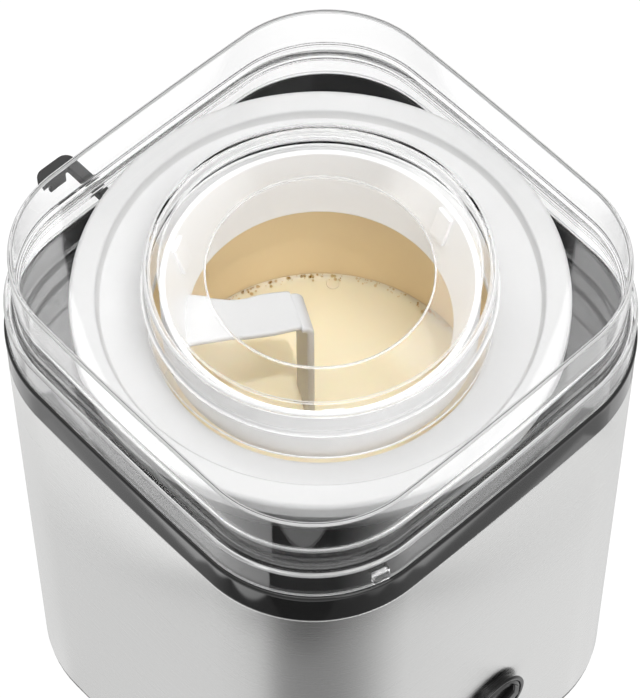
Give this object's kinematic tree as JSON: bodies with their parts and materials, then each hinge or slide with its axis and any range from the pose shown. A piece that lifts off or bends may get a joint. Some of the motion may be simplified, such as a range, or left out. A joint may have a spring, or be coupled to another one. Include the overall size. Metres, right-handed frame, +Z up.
{
  "type": "ice cream maker",
  "caption": "Square-bodied ice cream maker with brushed steel sleeve, lift-out freezer bowl turned by a gear drive, fixed paddle, clear lid with round fill tube and a rotary control.",
  "frame": {"origin": "on the table, in the middle of the footprint box, with the cord hook and the knob's grip included", "axes": "+Z up, -Y is the front with the control, +Y the back with the cord hook"},
  "size_m": [0.2, 0.233, 0.2773],
  "materials": {
    "brushed_stainless": "brushed along the horizontal",
    "black_moulding": "satin black ABS",
    "black_gloss": "gloss black ABS",
    "foot_rubber": "matt",
    "zinc_screw": "zinc plated",
    "switch_body": "dark thermoset",
    "gearbox_moulding": "glass-filled nylon",
    "bush_bronze": "sintered",
    "shaft_steel": "ground",
    "motor_steel": "zinc-plated can",
    "motor_winding": "lacquered winding on laminations",
    "gear_nylon": "natural nylon",
    "hub_plastic": "acetal",
    "white_moulding": "satin white ABS",
    "white_gloss": "white polypropylene",
    "liner_aluminium": "anodised",
    "freezing_liquid": "sealed liquid",
    "clear_moulding": "clear styrene"
  },
  "bodies": {
    "machine": {"steel_sleeve": "brushed_stainless", "top_frame": "black_moulding", "bowl_well": "black_moulding", "base_plate": "black_moulding", "rubber_feet": "foot_rubber", "base_screws": "zinc_screw", "deck_screws": "zinc_screw", "cord_hook": "black_moulding", "cord_gland": "black_moulding", "control_bezel": "black_gloss", "rotary_switch": "switch_body", "gear_case": "gearbox_moulding", "gear_cover": "gearbox_moulding", "case_screws": "zinc_screw", "hub_bush": "bush_bronze", "lower_bush": "bush_bronze", "idler_pin": "shaft_steel", "motor_can": "motor_steel", "motor_stator": "motor_winding", "motor_end_cap": "switch_body", "motor_screws": "zinc_screw"},
    "knob": {"control_knob": "black_gloss"},
    "motor_rotor": {"motor_rotor": "shaft_steel", "motor_pinion": "bush_bronze"},
    "idler": {"idler_gear": "gear_nylon"},
    "drive_hub": {"output_gear": "gear_nylon", "hub_shaft": "shaft_steel", "drive_hub": "hub_plastic"},
    "bowl": {"bowl_jacket": "white_moulding", "bowl_liner": "liner_aluminium", "coolant": "freezing_liquid", "bowl_rim": "white_moulding", "bowl_drive_ring": "white_moulding"},
    "paddle": {"paddle": "white_gloss"},
    "lid": {"lid": "clear_moulding"}
  },
  "joints": [
    {"name": "hub_spin", "type": "hinge", "parent": "machine", "child": "drive_hub", "pos_m": [0, -0.0105, 0.09], "axis": [0, 0, 1], "continuous": true},
    {"name": "idler_spin", "type": "hinge", "parent": "machine", "child": "idler", "pos_m": [0, 0.0395, 0.07], "axis": [0, 0, 1], "continuous": true},
    {"name": "motor_spin", "type": "hinge", "parent": "machine", "child": "motor_rotor", "pos_m": [-0.02828, 0.01122, 0.05], "axis": [0, 0, 1], "continuous": true},
    {"name": "knob_turn", "type": "hinge", "parent": "machine", "child": "knob", "pos_m": [0, -0.1105, 0.0635], "axis": [0, 1, 0], "range_deg": [0, 90]},
    {"name": "lid_lift", "type": "slide", "parent": "machine", "child": "lid", "axis": [0, 0, 1], "range_m": [0, 0.36]},
    {"name": "paddle_lift", "type": "slide", "parent": "machine", "child": "paddle", "axis": [0, 0, 1], "range_m": [0, 0.31]},
    {"name": "bowl_lift", "type": "slide", "parent": "drive_hub", "child": "bowl", "axis": [0, 0, 1], "range_m": [0, 0.17]}
  ],
  "couplings": [
    {"joint": "idler_spin", "follows": "hub_spin", "ratio": -4},
    {"joint": "motor_spin", "follows": "hub_spin", "ratio": 12},
    {"joint": "paddle_lift", "follows": "lid_lift", "ratio": 0.86111},
    {"joint": "bowl_lift", "follows": "lid_lift", "ratio": 0.47222}
  ]
}
